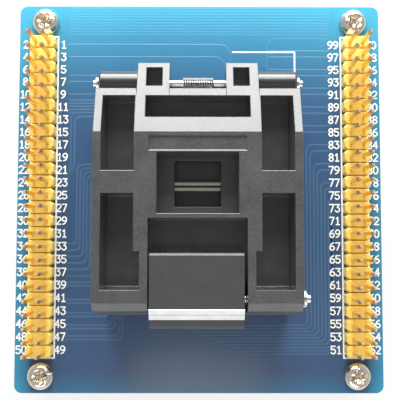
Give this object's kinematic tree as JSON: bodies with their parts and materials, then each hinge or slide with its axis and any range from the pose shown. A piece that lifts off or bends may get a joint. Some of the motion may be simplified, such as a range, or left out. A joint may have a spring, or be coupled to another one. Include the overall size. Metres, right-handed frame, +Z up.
{
  "type": "zif socket on an adapter board",
  "caption": "Clamshell test socket for a flat leaded chip on a blue adapter board, with a latched lid, a sprung pressure pad, two pin headers, corner screws and standoffs.",
  "frame": {"origin": "below the centre of the circuit board, on the plane of the standoffs' feet", "axes": "+Z up from the board, +Y from the latch to the hinge, +X to the right"},
  "size_m": [0.0724, 0.0772, 0.0316],
  "materials": {
    "board": "glossy solder mask over copper traces",
    "header_plastic": "moulded yellow-orange plastic",
    "gold": "gold plated",
    "steel": "bright nickel plated steel",
    "black_plastic": "black moulded plastic with a fine matt texture",
    "base_plastic": "black moulded plastic, glossy",
    "latch_plastic": "dark grey moulded plastic",
    "bar_metal": "pale gold plated spring metal"
  },
  "bodies": {
    "base": {"circuit_board": "board", "header_strip_left": "header_plastic", "header_strip_right": "header_plastic", "header_pins_left": "gold", "header_pins_right": "gold", "corner_screws": "steel", "standoffs": "steel", "socket_base": "base_plastic", "chip_nest": "black_plastic", "contacts_front": "gold", "contacts_rear": "gold", "contacts_left": "gold", "contacts_right": "gold", "hinge_pin": "steel", "hinge_clips": "steel", "hinge_spring": "steel"},
    "cover": {"lid": "black_plastic", "pad_spring_bars": "bar_metal", "latch_pin": "steel", "latch_clip": "steel", "latch_spring": "steel"},
    "pad": {"pressure_pad": "black_plastic"},
    "latch_lever": {"latch": "latch_plastic", "latch_strip": "steel"}
  },
  "joints": [
    {"name": "lid_hinge", "type": "hinge", "parent": "base", "child": "cover", "pos_m": [-0.0003, 0.02014, 0.0226], "axis": [-1, 0, 0], "range_deg": [0, 105], "deforming": ["hinge_spring"]},
    {"name": "latch_pivot", "type": "hinge", "parent": "cover", "child": "latch_lever", "pos_m": [-0.0003, -0.01896, 0.0256], "axis": [-1, 0, 0], "range_deg": [0, 18], "stiffness_Nm_per_rad": 0.02, "springref_deg": -11.46, "deforming": ["latch_spring"]},
    {"name": "pad_slide", "type": "slide", "parent": "cover", "child": "pad", "axis": [0, 0, 1], "range_m": [0, 0.0008], "stiffness_N_per_m": 2000, "springref_m": -0.001, "deforming": ["pad_spring_bars"]}
  ]
}
